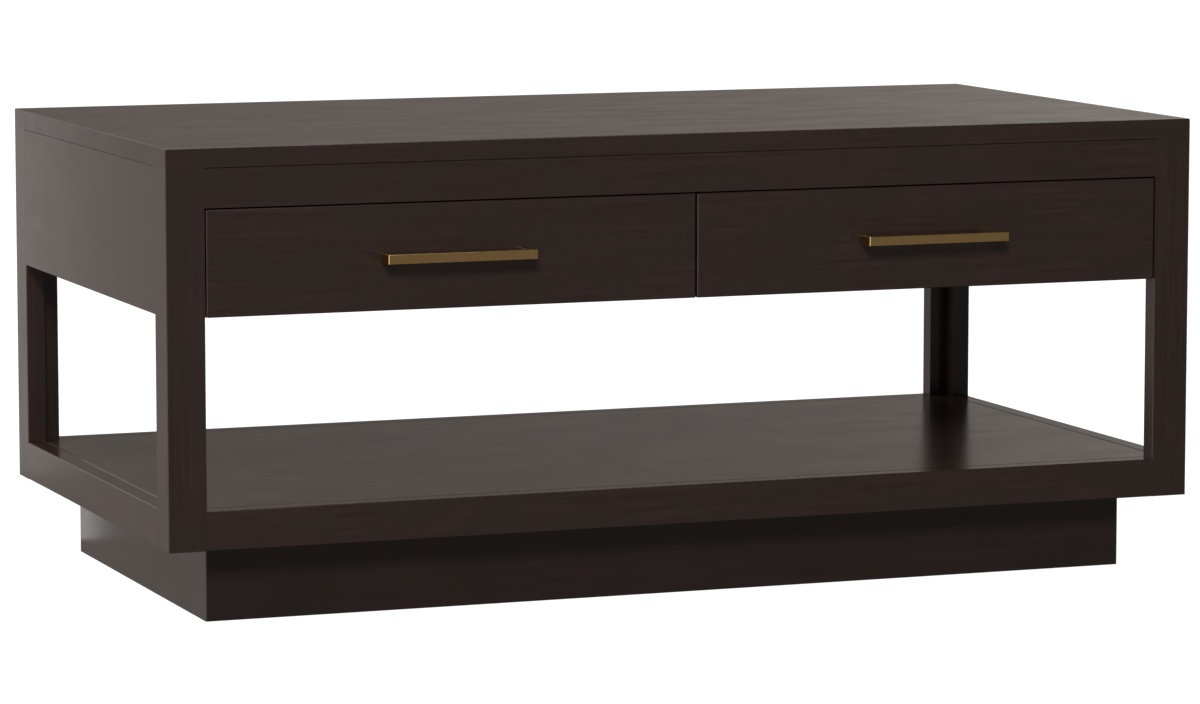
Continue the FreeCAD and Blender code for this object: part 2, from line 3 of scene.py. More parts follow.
import bmesh
import bpy
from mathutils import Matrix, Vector


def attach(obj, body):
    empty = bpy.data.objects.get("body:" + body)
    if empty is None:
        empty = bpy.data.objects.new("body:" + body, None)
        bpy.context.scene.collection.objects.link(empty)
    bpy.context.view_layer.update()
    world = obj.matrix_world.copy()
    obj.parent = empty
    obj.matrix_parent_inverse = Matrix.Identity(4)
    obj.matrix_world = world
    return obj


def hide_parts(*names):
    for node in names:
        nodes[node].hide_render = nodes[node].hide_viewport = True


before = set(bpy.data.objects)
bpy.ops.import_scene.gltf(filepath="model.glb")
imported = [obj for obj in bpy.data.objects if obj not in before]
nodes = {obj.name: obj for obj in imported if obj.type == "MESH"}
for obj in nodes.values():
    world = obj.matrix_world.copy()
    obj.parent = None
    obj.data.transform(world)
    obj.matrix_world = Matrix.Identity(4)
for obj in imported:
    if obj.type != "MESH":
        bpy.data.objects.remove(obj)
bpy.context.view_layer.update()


# Top panel: one flat slab of close-grained hardwood, its grain along the table, screwed on from below.
# It is stained dark espresso, the stain wiped back by hand, and sprayed with satin lacquer.
def linear(colour):
    """An sRGB colour, written #rrggbb, as the linear colour that a shader reads."""
    shares = [int(colour[place:place + 2], 16) / 255 for place in (1, 3, 5)]
    return [s / 12.92 if s <= 0.04045 else ((s + 0.055) / 1.055) ** 2.4 for s in shares] + [1]


def add_node(tree, kind, inputs=(), **settings):
    """Adds a node with its settings, and fills its inputs with values or with other nodes' outputs."""
    made = tree.nodes.new(kind)
    for name, value in settings.items():
        setattr(made, name, value)
    for name, value in dict(inputs).items():
        if isinstance(value, bpy.types.NodeSocket):
            tree.links.new(value, made.inputs[name])
        else:
            made.inputs[name].default_value = value
    return made


def sawn_wood():
    """The figure of a sawn board, in depth too, its grain along X: rings, fibres, pores and blotches."""
    tree = bpy.data.node_groups.new("sawn_wood", "ShaderNodeTree")
    inputs = (
        ("Vector", "Vector"),
        ("Facing", "Vector"),
        ("Early Wood", "Color"),
        ("Late Wood", "Color"),
        ("Pore", "Color"),
        ("Blotch", "Color"),
        ("End Grain", "Color"),
        ("Ring Scale", "Float"),
        ("Ring Contrast", "Float"),
        ("Fibre Scale", "Vector"),
        ("Fibre Contrast", "Float"),
        ("Pore Scale", "Vector"),
        ("Pore Depth", "Float"),
        ("Blotch Scale", "Vector"),
        ("Blotch Strength", "Float"),
        ("End Strength", "Float"),
        ("Smoothest", "Float"),
        ("Roughest", "Float"),
    )
    for name, kind in inputs:
        tree.interface.new_socket(name, in_out="INPUT", socket_type="NodeSocket" + kind)
    for name, kind in (("Colour", "Color"), ("Roughness", "Float"), ("Height", "Float")):
        tree.interface.new_socket(name, in_out="OUTPUT", socket_type="NodeSocket" + kind)
    given = add_node(tree, "NodeGroupInput").outputs

    # The trunk's slow bends: rings and fibres wander by some millimetres over a hand's length
    bends_to_a_metre = (3, 11, 11)
    wander = (0, 0.016, 0.016)
    slow = add_node(
        tree, "ShaderNodeVectorMath", {0: given["Vector"], 1: bends_to_a_metre}, operation="MULTIPLY"
    )
    slow = add_node(tree, "ShaderNodeTexNoise", {"Vector": slow.outputs[0], "Scale": 1, "Detail": 2})
    slow = add_node(
        tree, "ShaderNodeVectorMath", {0: slow.outputs["Color"], 1: (0.5, 0.5, 0.5)}, operation="SUBTRACT"
    )
    bent = add_node(
        tree, "ShaderNodeVectorMath", {0: slow.outputs[0], 1: wander, 2: given["Vector"]},
        operation="MULTIPLY_ADD",
    )

    def stretched_noise(scale, detail, low, high):
        """Noise that is drawn out along the grain, spread from 0 to 1 between two of its values."""
        place = add_node(
            tree, "ShaderNodeVectorMath", {0: bent.outputs[0], 1: given[scale]}, operation="MULTIPLY"
        )
        noise = add_node(
            tree, "ShaderNodeTexNoise",
            {"Vector": place.outputs[0], "Scale": 1, "Detail": detail, "Roughness": 0.6},
        )
        return add_node(
            tree, "ShaderNodeMapRange", {"Value": noise.outputs[0], "From Min": low, "From Max": high},
            interpolation_type="SMOOTHSTEP",
        ).outputs[0]

    rings = add_node(
        tree, "ShaderNodeTexWave", {"Vector": bent.outputs[0], "Scale": given["Ring Scale"]},
        wave_type="RINGS", rings_direction="X", wave_profile="SAW",
    ).outputs["Fac"]
    fibres = stretched_noise("Fibre Scale", detail=4, low=0.3, high=0.7)
    pores = stretched_noise("Pore Scale", detail=1, low=0.56, high=0.7)
    blotches = stretched_noise("Blotch Scale", detail=3, low=0.36, high=0.64)

    # Late wood where rings and fibres are dense, then the blotches, then the pores on top
    dense = add_node(tree, "ShaderNodeMath", {0: fibres, 1: given["Fibre Contrast"]}, operation="MULTIPLY")
    dense = add_node(
        tree, "ShaderNodeMath", {0: rings, 1: given["Ring Contrast"], 2: dense.outputs[0]},
        operation="MULTIPLY_ADD",
    )
    wood = add_node(
        tree, "ShaderNodeMix", {0: dense.outputs[0], 6: given["Early Wood"], 7: given["Late Wood"]},
        data_type="RGBA",
    )
    share = add_node(
        tree, "ShaderNodeMath", {0: blotches, 1: given["Blotch Strength"]}, operation="MULTIPLY"
    )
    wood = add_node(
        tree, "ShaderNodeMix", {0: share.outputs[0], 6: wood.outputs[2], 7: given["Blotch"]},
        data_type="RGBA",
    )
    share = add_node(tree, "ShaderNodeMath", {0: pores, 1: given["Pore Depth"]}, operation="MULTIPLY")
    wood = add_node(
        tree, "ShaderNodeMix", {0: share.outputs[0], 6: wood.outputs[2], 7: given["Pore"]},
        data_type="RGBA",
    )

    # The cut ends of the fibres drink more stain: a face that looks along the grain is unevenly darker
    along = add_node(tree, "ShaderNodeSeparateXYZ", {0: given["Facing"]})
    along = add_node(tree, "ShaderNodeMath", {0: along.outputs[0]}, operation="ABSOLUTE")
    ends = add_node(
        tree, "ShaderNodeMapRange", {"Value": along.outputs[0], "From Min": 0.6, "From Max": 0.8}
    )
    soaked = add_node(
        tree, "ShaderNodeMapRange", {"Value": blotches, "To Min": 0.25, "To Max": given["End Strength"]}
    )
    soaked = add_node(
        tree, "ShaderNodeMath", {0: soaked.outputs[0], 1: ends.outputs[0]}, operation="MULTIPLY"
    )
    wood = add_node(
        tree, "ShaderNodeMix", {0: soaked.outputs[0], 6: wood.outputs[2], 7: given["End Grain"]},
        data_type="RGBA",
    )

    # The gloss follows the blotches, with a fifth of it from the fibres, and the pores lie below the fibres
    gloss = add_node(tree, "ShaderNodeMix", {0: 0.2, 2: blotches, 3: fibres})
    gloss = add_node(
        tree, "ShaderNodeMapRange",
        {"Value": gloss.outputs[0], "To Min": given["Smoothest"], "To Max": given["Roughest"]},
    )
    height = add_node(tree, "ShaderNodeMath", {0: pores, 1: -1, 2: fibres}, operation="MULTIPLY_ADD")
    add_node(
        tree, "NodeGroupOutput",
        {"Colour": wood.outputs[2], "Roughness": gloss.outputs[0], "Height": height.outputs[0]},
    )
    return tree


figure_tree = sawn_wood()
deepest_pore = 0.0002


def board_finish(name, turn, plank, figure, relief):
    """The finish of one board, its figure turned to the board's grain and taken from its own plank."""
    material = bpy.data.materials.new(name)
    material.use_nodes = True
    tree = material.node_tree
    tree.nodes.clear()
    given = add_node(tree, "ShaderNodeTexCoord").outputs
    place = add_node(
        tree, "ShaderNodeMapping", {"Vector": given["Object"], "Location": plank, "Rotation": turn}
    )
    facing = add_node(
        tree, "ShaderNodeMapping", {"Vector": given["Normal"], "Rotation": turn}, vector_type="NORMAL"
    )
    wood = add_node(
        tree, "ShaderNodeGroup", {"Vector": place.outputs[0], "Facing": facing.outputs[0], **figure},
        node_tree=figure_tree,
    ).outputs
    bump = add_node(
        tree, "ShaderNodeBump", {"Height": wood["Height"], "Strength": relief, "Distance": deepest_pore}
    )
    surface = add_node(
        tree, "ShaderNodeBsdfPrincipled",
        {
            "Base Color": wood["Colour"], "Roughness": wood["Roughness"], "IOR": 1.5,
            "Normal": bump.outputs[0],
        },
    )
    add_node(tree, "ShaderNodeOutputMaterial", {"Surface": surface.outputs[0]})
    return material


along_x = (0, 0, 0)
along_y = (0, 0, -math.pi / 2)
along_z = (0, math.pi / 2, 0)


def dress(node, material):
    """Gives a carried-over node its finish."""
    slots = nodes[node].material_slots
    for slot in slots:
        slot.material = material
    if not slots:
        nodes[node].data.materials.append(material)


planks_sawn = 0


def next_plank(along, across, from_pith, outwards):
    """Where in the trunk the next board is sawn, in steps of these metres, so that no two are alike."""
    global planks_sawn
    planks_sawn += 1
    return (along * planks_sawn, across * (planks_sawn % 5), from_pith + outwards * (planks_sawn % 7))


def drawn_out(length, width):
    """How often marks of this length along the grain, and this width across it, repeat in a metre."""
    return (1 / length, 1 / width, 1 / width)


# A wave texture at scale 1 has its rings this far apart
ring_gap = 0.314

# Alder or a like even hardwood, with rings about 7 mm apart. The fibres are drawn 3 mm wide and the pores
# 1.2 mm wide, much coarser than real ones, so that they show from five metres. Blotches of a palm's size
# are where the stain took more and turned from red-brown to olive. Filler and stain leave all of it faint,
# and the satin lacquer gives soft broad highlights, a little duller where the wood drank more.
espresso = {
    "Early Wood": linear("#221714"), "Late Wood": linear("#140c0a"), "Pore": linear("#0f0807"),
    "Blotch": linear("#1a1410"), "End Grain": linear("#100806"),
    "Ring Scale": ring_gap / 0.007, "Ring Contrast": 0.2,
    "Fibre Scale": drawn_out(0.160, 0.0032), "Fibre Contrast": 0.5,
    "Pore Scale": drawn_out(0.014, 0.0012), "Pore Depth": 0.2,
    "Blotch Scale": drawn_out(0.085, 0.038), "Blotch Strength": 0.8,
    "End Strength": 0.8, "Smoothest": 0.22, "Roughest": 0.25,
}


def stained(node, turn, name="espresso_stained_satin_wood_", figure=espresso):
    """Espresso-stained wood on one board."""
    plank = next_plank(along=0.37, across=0.013, from_pith=0.09, outwards=0.011)
    dress(node, board_finish(name + node, turn, plank, figure, relief=0.04))


stained("top_panel", along_x)


# Corner posts: each is two mitred boards glued into an L, their grain upright,
# stained and lacquered like the top.
for node in ("front_left_post", "front_right_post", "back_left_post", "back_right_post"):
    stained(node, along_z)


# Aprons, top rail and base rails: boards glued between the posts, their grain along their length,
# flush with the posts on the outside and finished with them.
for node in ("front_top_rail", "back_apron", "front_base_rail", "back_base_rail"):
    stained(node, along_x)
for node in ("left_apron", "right_apron", "left_base_rail", "right_base_rail"):
    stained(node, along_y)


# Shelf: a panel of the same wood, let in between the base rails on bearers, its grain along the table.
# Its upper face lies flush with the rails' edges.
stained("shelf_panel", along_x)


# Plinth: four mitred boards, glued in a frame and set back under the case.
# Their colours are darker than the case's. This is painted shade, standing in for the shade under the case.
painted_shade_plinth_figure = {
    **espresso, "Early Wood": linear("#1b110f"), "Late Wood": linear("#0f0807"),
    "Blotch": linear("#140f0b"),
}
for node in ("plinth_front", "plinth_back"):
    stained(node, along_x, figure=painted_shade_plinth_figure)
for node in ("plinth_left", "plinth_right"):
    stained(node, along_y, figure=painted_shade_plinth_figure)


# Drawer fronts: inset boards, screwed to the drawer boxes from inside. Each is cut from its own plank,
# so the figure doesn't run on from one to the other.
for node in ("left_drawer_front", "right_drawer_front"):
    stained(node, along_x)


# Hidden frame: the divider and the cleats show when a drawer is open, so they are lacquered like the case.
# Bearers, battens and corner blocks are glued and screwed in where nobody looks, and are stained but left
# bare, so they are matt, with the pores open.
for node in ("centre_divider", "left_slide_cleat", "right_slide_cleat"):
    stained(node, along_y)
bare = "espresso_stained_bare_wood_"
unlacquered = {**espresso, "Pore Depth": 0.45, "Smoothest": 0.55, "Roughest": 0.68}
for node in ("left_bearer", "right_bearer", "top_battens"):
    stained(node, along_y, bare, unlacquered)
for node in ("front_bearer", "back_bearer"):
    stained(node, along_x, bare, unlacquered)
stained("plinth_corner_blocks", along_z, bare, unlacquered)


# Drawer boxes: birch boards, dovetailed and glued at the corners, with clear matt lacquer.
# A birch plywood bottom is held in their grooves with a little play.

# Sawn birch is pale and even, with rings about 4 mm apart, and the matt lacquer leaves it a dull sheen
birch = {
    "Early Wood": linear("#bb9f77"), "Late Wood": linear("#a5865d"), "Pore": linear("#7e6343"),
    "Blotch": linear("#ad8e65"), "End Grain": linear("#8a6c49"),
    "Ring Scale": ring_gap / 0.004, "Ring Contrast": 0.45,
    "Fibre Scale": drawn_out(0.120, 0.0020), "Fibre Contrast": 0.4,
    "Pore Scale": drawn_out(0.010, 0.0009), "Pore Depth": 0.25,
    "Blotch Scale": drawn_out(0.140, 0.040), "Blotch Strength": 0.3,
    "End Strength": 0.8, "Smoothest": 0.46, "Roughest": 0.56,
}

# The plywood's face is peeled from the log, so it is paler, and its rings lie 30 mm apart and wander
peeled_birch = {
    **birch, "Early Wood": linear("#c3aa83"), "Late Wood": linear("#ae9068"),
    "Ring Scale": ring_gap / 0.030, "Fibre Scale": drawn_out(0.090, 0.0030),
    "Smoothest": 0.52, "Roughest": 0.62,
}
for side in ("left", "right"):
    for part, turn, name, figure in (
        ("inner_front", along_x, "lacquered_birch_", birch),
        ("back", along_x, "lacquered_birch_", birch),
        ("left_side", along_y, "lacquered_birch_", birch),
        ("right_side", along_y, "lacquered_birch_", birch),
        ("bottom", along_x, "peeled_birch_plywood_", peeled_birch),
    ):
        node = side + "_drawer_" + part
        plank = next_plank(along=0.41, across=0.017, from_pith=0.07, outwards=0.009)
        dress(node, board_finish(name + node, turn, plank, figure, relief=0.2))


# Pulls: square brass bars whose legs stand at their ends, each held by two screws through the drawer front.
# They are brushed lengthways and left bare.
deepest_scratch = 0.00005


def metal(name, colour, darker, smoothest, roughest, marks, relief=0.2):
    """A bare metal. One noise, with so many marks to a metre on each axis, sets tone, gloss and relief."""
    material = bpy.data.materials.new(name)
    material.use_nodes = True
    tree = material.node_tree
    tree.nodes.clear()
    place = add_node(tree, "ShaderNodeTexCoord")
    place = add_node(tree, "ShaderNodeMapping", {"Vector": place.outputs["Object"], "Scale": marks})
    lines = add_node(
        tree, "ShaderNodeTexNoise", {"Vector": place.outputs[0], "Scale": 1, "Detail": 3, "Roughness": 0.6}
    ).outputs[0]
    tone = add_node(
        tree, "ShaderNodeMix", {0: lines, 6: linear(colour), 7: linear(darker)}, data_type="RGBA"
    )
    gloss = add_node(tree, "ShaderNodeMapRange", {"Value": lines, "To Min": smoothest, "To Max": roughest})
    bump = add_node(
        tree, "ShaderNodeBump", {"Height": lines, "Strength": relief, "Distance": deepest_scratch}
    )
    surface = add_node(
        tree, "ShaderNodeBsdfPrincipled",
        {
            "Base Color": tone.outputs[2], "Roughness": gloss.outputs[0], "Metallic": 1,
            "Normal": bump.outputs[0],
        },
    )
    add_node(tree, "ShaderNodeOutputMaterial", {"Surface": surface.outputs[0]})
    return material


# The brush leaves lines along the bar, drawn 0.4 mm wide and 33 mm long, coarser than real ones so that
# they show. They stretch its highlights lengthways.
brass = metal("brushed_brass", "#e4c284", "#d4b176", 0.11, 0.16, (1 / 0.0333, 1 / 0.0004, 1 / 0.0004))
for side in ("left", "right"):
    dress(side + "_drawer_pull", brass)


# Drawer slides: three members rolled from steel strip, one inside the other, zinc-plated after they were
# formed. The case members are screwed to the cleat and the divider, the box members to the drawer's sides.

# Bright plating is even, so its tone hardly changes. The rolls leave faint lines along the members, 2.5 mm
# wide and 83 mm long.
zinc_marks = (1 / 0.0025, 1 / 0.0833, 1 / 0.0025)
zinc = metal("zinc_plated_steel", "#cfd3d6", "#c5c9cd", 0.26, 0.34, zinc_marks, relief=0.05)
for side in ("left", "right"):
    for part in ("case_members", "middle_members", "box_members"):
        dress(side + "_drawer_" + part, zinc)


# Ball cages: each is a strip of bright steel, bent to a channel and punched with a window for every ball.
# The balls are hardened steel, polished, and run in a film of grease.

# Corners within a micrometre of each other are one corner, and places are compared to the same fineness
weld = 1e-6
digits = 6


def islands(node):
    """The separate solids of a carried-over node, in its own order, each as the list of its corners."""
    mesh = bmesh.new()
    mesh.from_mesh(nodes[node].data)
    bmesh.ops.remove_doubles(mesh, verts=mesh.verts, dist=weld)
    found = []
    seen = set()
    for start in mesh.verts:
        if start in seen:
            continue
        seen.add(start)
        reached = [start]
        island = []
        while reached:
            corner = reached.pop()
            island.append(corner.co.copy())
            for edge in corner.link_edges:
                other = edge.other_vert(corner)
                if other not in seen:
                    seen.add(other)
                    reached.append(other)
        found.append(island)
    mesh.free()
    return found


def middle(corners):
    """The middle of the box round some corners."""
    lowest = Vector([min(corner[axis] for corner in corners) for axis in range(3)])
    highest = Vector([max(corner[axis] for corner in corners) for axis in range(3)])
    return (lowest + highest) / 2


def spot(corner):
    """A corner's place, rounded so that two meshes can be compared."""
    return tuple(round(value, digits) for value in corner)


def new_tree(name, inputs):
    """A geometry tree with a mesh going in and out, and named inputs for its sizes."""
    tree = bpy.data.node_groups.new(name, "GeometryNodeTree")
    tree.interface.new_socket("Geometry", in_out="INPUT", socket_type="NodeSocketGeometry")
    tree.interface.new_socket("Geometry", in_out="OUTPUT", socket_type="NodeSocketGeometry")
    for label, kind in inputs:
        tree.interface.new_socket(label, in_out="INPUT", socket_type="NodeSocket" + kind)
    return tree, add_node(tree, "NodeGroupInput").outputs


def grown(name, mesh, tree, values):
    """What a geometry tree makes of a mesh, as a plain object at the origin."""
    base = bpy.data.objects.new(name + "_base", mesh)
    bpy.context.scene.collection.objects.link(base)
    modifier = base.modifiers.new("nodes", "NODES")
    modifier.node_group = tree
    for socket in tree.interface.items_tree:
        if socket.in_out == "INPUT" and socket.name in values:
            modifier[socket.identifier] = values[socket.name]
    bpy.context.view_layer.update()
    shaped = base.evaluated_get(bpy.context.evaluated_depsgraph_get())
    solid = bpy.data.meshes.new_from_object(shaped)
    solid.materials.clear()
    solid.materials.append(values["Finish"])
    made = bpy.data.objects.new(name, solid)
    base.modifiers.remove(modifier)
    bpy.data.objects.remove(base)
    bpy.context.scene.collection.objects.link(made)
    return made


# One round ball on every point
ball_tree, given = new_tree("balls", (("Radius", "Float"), ("Finish", "Material")))
ball = add_node(
    ball_tree, "GeometryNodeMeshUVSphere", {"Segments": 24, "Rings": 16, "Radius": given["Radius"]}
)
placed = add_node(
    ball_tree, "GeometryNodeInstanceOnPoints",
    {"Points": given["Geometry"], "Instance": ball.outputs["Mesh"]},
)
placed = add_node(ball_tree, "GeometryNodeRealizeInstances", {0: placed.outputs[0]})
placed = add_node(ball_tree, "GeometryNodeSetShadeSmooth", {"Geometry": placed.outputs[0]})
placed = add_node(
    ball_tree, "GeometryNodeSetMaterial", {"Geometry": placed.outputs[0], "Material": given["Finish"]}
)
add_node(ball_tree, "NodeGroupOutput", {"Geometry": placed.outputs[0]})

# Rolled strip is grey and soft in its sheen, with lines along it that are 1.7 mm wide and 17 mm long
strip_marks = (1 / 0.00167, 1 / 0.0167, 1 / 0.00167)
cage_steel = metal("pressed_strip_steel", "#b3b4b3", "#9c9d9c", 0.28, 0.42, strip_marks)

# A polished ball is almost a mirror, and the grease on it makes a faint mottle, 2.5 mm across
grease_marks = (1 / 0.0025, 1 / 0.0025, 1 / 0.0025)
ball_steel = metal("polished_ball_steel", "#c9cacb", "#bfc0c1", 0.06, 0.12, grease_marks)
for side in ("left", "right"):
    for row in ("outer_cages", "inner_cages"):
        node = side + "_drawer_" + row
        solids = islands(node)
        corners_of_a_ball = min(len(solid) for solid in solids)
        balls = [solid for solid in solids if len(solid) == corners_of_a_ball]
        centres = bpy.data.meshes.new(node + "_centres")
        centres.from_pydata([middle(ball) for ball in balls], [], [])
        radius = (balls[0][0] - middle(balls[0])).length
        made = grown(node + "_balls", centres, ball_tree, {"Radius": radius, "Finish": ball_steel})

        # The strips are a copy of the CAD mesh without its balls, joined to the round ones
        strips = bmesh.new()
        strips.from_mesh(nodes[node].data)
        bmesh.ops.remove_doubles(strips, verts=strips.verts, dist=weld)
        spots = {spot(corner) for ball in balls for corner in ball}
        many_sided = [vertex for vertex in strips.verts if spot(vertex.co) in spots]
        bmesh.ops.delete(strips, geom=many_sided, context="VERTS")
        for face in strips.faces:
            face.material_index = 1
            face.smooth = False
        strips.from_mesh(made.data)
        strips.to_mesh(made.data)
        strips.free()
        made.data.materials.append(cage_steel)
        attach(made, node)
        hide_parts(node)


# Slide bumpers: black rubber blocks that stop the drawer as it closes, each moulded with a stud that snaps
# into the case member. Moulded rubber is matt, with a faint mottle, 1.2 mm across, from the mould.
rubber = bpy.data.materials.new("moulded_black_rubber")
rubber.use_nodes = True
tree = rubber.node_tree
tree.nodes.clear()
place = add_node(tree, "ShaderNodeTexCoord").outputs["Object"]
mottle = add_node(tree, "ShaderNodeTexNoise", {"Vector": place, "Scale": 1 / 0.0012, "Detail": 2})
tone = add_node(
    tree, "ShaderNodeMix", {0: mottle.outputs[0], 6: linear("#19191a"), 7: linear("#232324")},
    data_type="RGBA",
)
bump = add_node(tree, "ShaderNodeBump", {"Height": mottle.outputs[0], "Strength": 0.3, "Distance": 0.0001})
surface = add_node(
    tree, "ShaderNodeBsdfPrincipled",
    {"Base Color": tone.outputs[2], "Roughness": 0.75, "IOR": 1.52, "Normal": bump.outputs[0]},
)
add_node(tree, "ShaderNodeOutputMaterial", {"Surface": surface.outputs[0]})
dress("slide_bumpers", rubber)


# Screws: cold-headed steel, zinc-plated, with a rolled thread and a cross recess. Pan heads hold the top,
# the pulls and the drawer fronts, and countersunk heads, sunk in the slides' metal, hold the slides.
screw_inputs = (
    ("Length", "Float"),
    ("Shank Radius", "Float"),
    ("Thread Depth", "Float"),
    ("Pitch", "Float"),
    ("Tip Length", "Float"),
    ("Head Radius", "Float"),
    ("Head Height", "Float"),
    ("Crown Share", "Float"),
    ("Seat Share", "Float"),
    ("Roundness", "Float"),
    ("Recess Width", "Float"),
    ("Recess Depth", "Float"),
    ("Seed", "Int"),
    ("Finish", "Material"),
)
screw_tree, given = new_tree("screws", screw_inputs)


def lathed(bottom, top, radius, steps, sides):
    """A closed solid turned about Z, its radius given by a field along it."""
    low = add_node(screw_tree, "ShaderNodeCombineXYZ", {"Z": bottom})
    high = add_node(screw_tree, "ShaderNodeCombineXYZ", {"Z": top})
    line = add_node(
        screw_tree, "GeometryNodeCurvePrimitiveLine", {"Start": low.outputs[0], "End": high.outputs[0]}
    )
    line = add_node(screw_tree, "GeometryNodeResampleCurve", {"Curve": line.outputs[0], "Count": steps})
    ring = add_node(screw_tree, "GeometryNodeCurvePrimitiveCircle", {"Resolution": sides, "Radius": 1})
    return add_node(
        screw_tree, "GeometryNodeCurveToMesh",
        {"Curve": line.outputs[0], "Profile Curve": ring.outputs[0], "Scale": radius, "Fill Caps": True},
    ).outputs[0]


# The head swells from its crown to its seat
along = add_node(screw_tree, "GeometryNodeSplineParameter").outputs["Factor"]
ahead = add_node(screw_tree, "ShaderNodeMath", {0: 1, 1: along}, operation="SUBTRACT").outputs[0]
dome = add_node(screw_tree, "ShaderNodeMath", {0: ahead, 1: given["Roundness"]}, operation="POWER")
swell = add_node(
    screw_tree, "ShaderNodeMapRange",
    {
        "Value": dome.outputs[0], "From Min": 1, "From Max": 0,
        "To Min": given["Crown Share"], "To Max": given["Seat Share"],
    },
)
swell = add_node(
    screw_tree, "ShaderNodeMath", {0: swell.outputs[0], 1: given["Head Radius"]}, operation="MULTIPLY"
)
head = lathed(0, given["Head Height"], swell.outputs[0], steps=12, sides=32)

# Two bars, four times as long as they are wide, cut the recess; half of each stands out of the crown
bar_share = 0.25
blade = add_node(
    screw_tree, "ShaderNodeMath", {0: given["Recess Width"], 1: bar_share}, operation="MULTIPLY"
).outputs[0]
depth = add_node(
    screw_tree, "ShaderNodeMath", {0: given["Recess Depth"], 1: 2}, operation="MULTIPLY"
).outputs[0]
recessed = add_node(
    screw_tree, "GeometryNodeMeshBoolean", {0: head}, operation="DIFFERENCE", solver="EXACT"
)
for width, height in ((given["Recess Width"], blade), (blade, given["Recess Width"])):
    size = add_node(screw_tree, "ShaderNodeCombineXYZ", {"X": width, "Y": height, "Z": depth})
    bar = add_node(screw_tree, "GeometryNodeMeshCube", {"Size": size.outputs[0]})
    screw_tree.links.new(bar.outputs["Mesh"], recessed.inputs["Mesh 2"])

# The core starts a little inside the head and runs to a blunt point
point_share = 0.15
start_share = 0.95
core_radius = add_node(
    screw_tree, "ShaderNodeMath", {0: given["Shank Radius"], 1: given["Thread Depth"]}, operation="SUBTRACT"
).outputs[0]
tip_share = add_node(
    screw_tree, "ShaderNodeMath", {0: given["Tip Length"], 1: given["Length"]}, operation="DIVIDE"
)
taper = add_node(
    screw_tree, "ShaderNodeMapRange",
    {"Value": ahead, "From Max": tip_share.outputs[0], "To Min": point_share, "To Max": 1},
)
taper = add_node(screw_tree, "ShaderNodeMath", {0: taper.outputs[0], 1: core_radius}, operation="MULTIPLY")
neck = add_node(
    screw_tree, "ShaderNodeMath", {0: given["Head Height"], 1: start_share}, operation="MULTIPLY"
)
core = lathed(neck.outputs[0], given["Length"], taper.outputs[0], steps=24, sides=16)

# The thread winds round the core up to where the point begins
reach = add_node(
    screw_tree, "ShaderNodeMath", {0: given["Length"], 1: given["Head Height"]}, operation="SUBTRACT"
)
reach = add_node(
    screw_tree, "ShaderNodeMath", {0: reach.outputs[0], 1: given["Tip Length"]}, operation="SUBTRACT"
).outputs[0]
turns = add_node(screw_tree, "ShaderNodeMath", {0: reach, 1: given["Pitch"]}, operation="DIVIDE")
winding = add_node(
    screw_tree, "GeometryNodeCurveSpiral",
    {
        "Resolution": 20, "Rotations": turns.outputs[0], "Start Radius": core_radius,
        "End Radius": core_radius, "Height": reach,
    },
)
ridge = add_node(
    screw_tree, "GeometryNodeCurvePrimitiveCircle", {"Resolution": 3, "Radius": given["Thread Depth"]}
)
thread = add_node(
    screw_tree, "GeometryNodeCurveToMesh",
    {"Curve": winding.outputs[0], "Profile Curve": ridge.outputs[0], "Fill Caps": True},
)
lift = add_node(screw_tree, "ShaderNodeCombineXYZ", {"Z": given["Head Height"]})
thread = add_node(
    screw_tree, "GeometryNodeTransform", {"Geometry": thread.outputs[0], "Translation": lift.outputs[0]}
)
whole = add_node(screw_tree, "GeometryNodeJoinGeometry")
for part in (thread.outputs[0], core, recessed.outputs["Mesh"]):
    screw_tree.links.new(part, whole.inputs[0])

# Each is aimed the way that it was driven, and stopped at a turn of its own
aim = add_node(screw_tree, "GeometryNodeInputNamedAttribute", {"Name": "aim"}, data_type="FLOAT_VECTOR")
aimed = add_node(screw_tree, "FunctionNodeAlignRotationToVector", {"Vector": aim.outputs[0]}, axis="Z")
turn = add_node(
    screw_tree, "FunctionNodeRandomValue", {"Min": 0, "Max": math.tau, "Seed": given["Seed"]},
    data_type="FLOAT",
)
turn = add_node(
    screw_tree, "FunctionNodeAxisAngleToRotation", {"Axis": (0, 0, 1), "Angle": turn.outputs[1]}
)
aimed = add_node(
    screw_tree, "FunctionNodeRotateRotation", {"Rotation": aimed.outputs[0], "Rotate By": turn.outputs[0]},
    rotation_space="LOCAL",
)
driven = add_node(
    screw_tree, "GeometryNodeInstanceOnPoints",
    {"Points": given["Geometry"], "Instance": whole.outputs[0], "Rotation": aimed.outputs[0]},
)
driven = add_node(screw_tree, "GeometryNodeRealizeInstances", {0: driven.outputs[0]})

# Round sides are shaded smooth, and edges of more than 35 degrees stay sharp
driven = add_node(
    screw_tree, "GeometryNodeSetShadeSmooth", {"Geometry": driven.outputs[0], "Shade Smooth": True}
)
angle = add_node(screw_tree, "GeometryNodeInputMeshEdgeAngle")
sharp = add_node(
    screw_tree, "FunctionNodeCompare", {0: angle.outputs[0], 1: math.radians(35)}, operation="GREATER_THAN"
)
driven = add_node(
    screw_tree, "GeometryNodeSetShadeSmooth",
    {"Geometry": driven.outputs[0], "Selection": sharp.outputs[0], "Shade Smooth": False}, domain="EDGE",
)
driven = add_node(
    screw_tree, "GeometryNodeSetMaterial", {"Geometry": driven.outputs[0], "Material": given["Finish"]}
)
add_node(screw_tree, "NodeGroupOutput", {"Geometry": driven.outputs[0]})

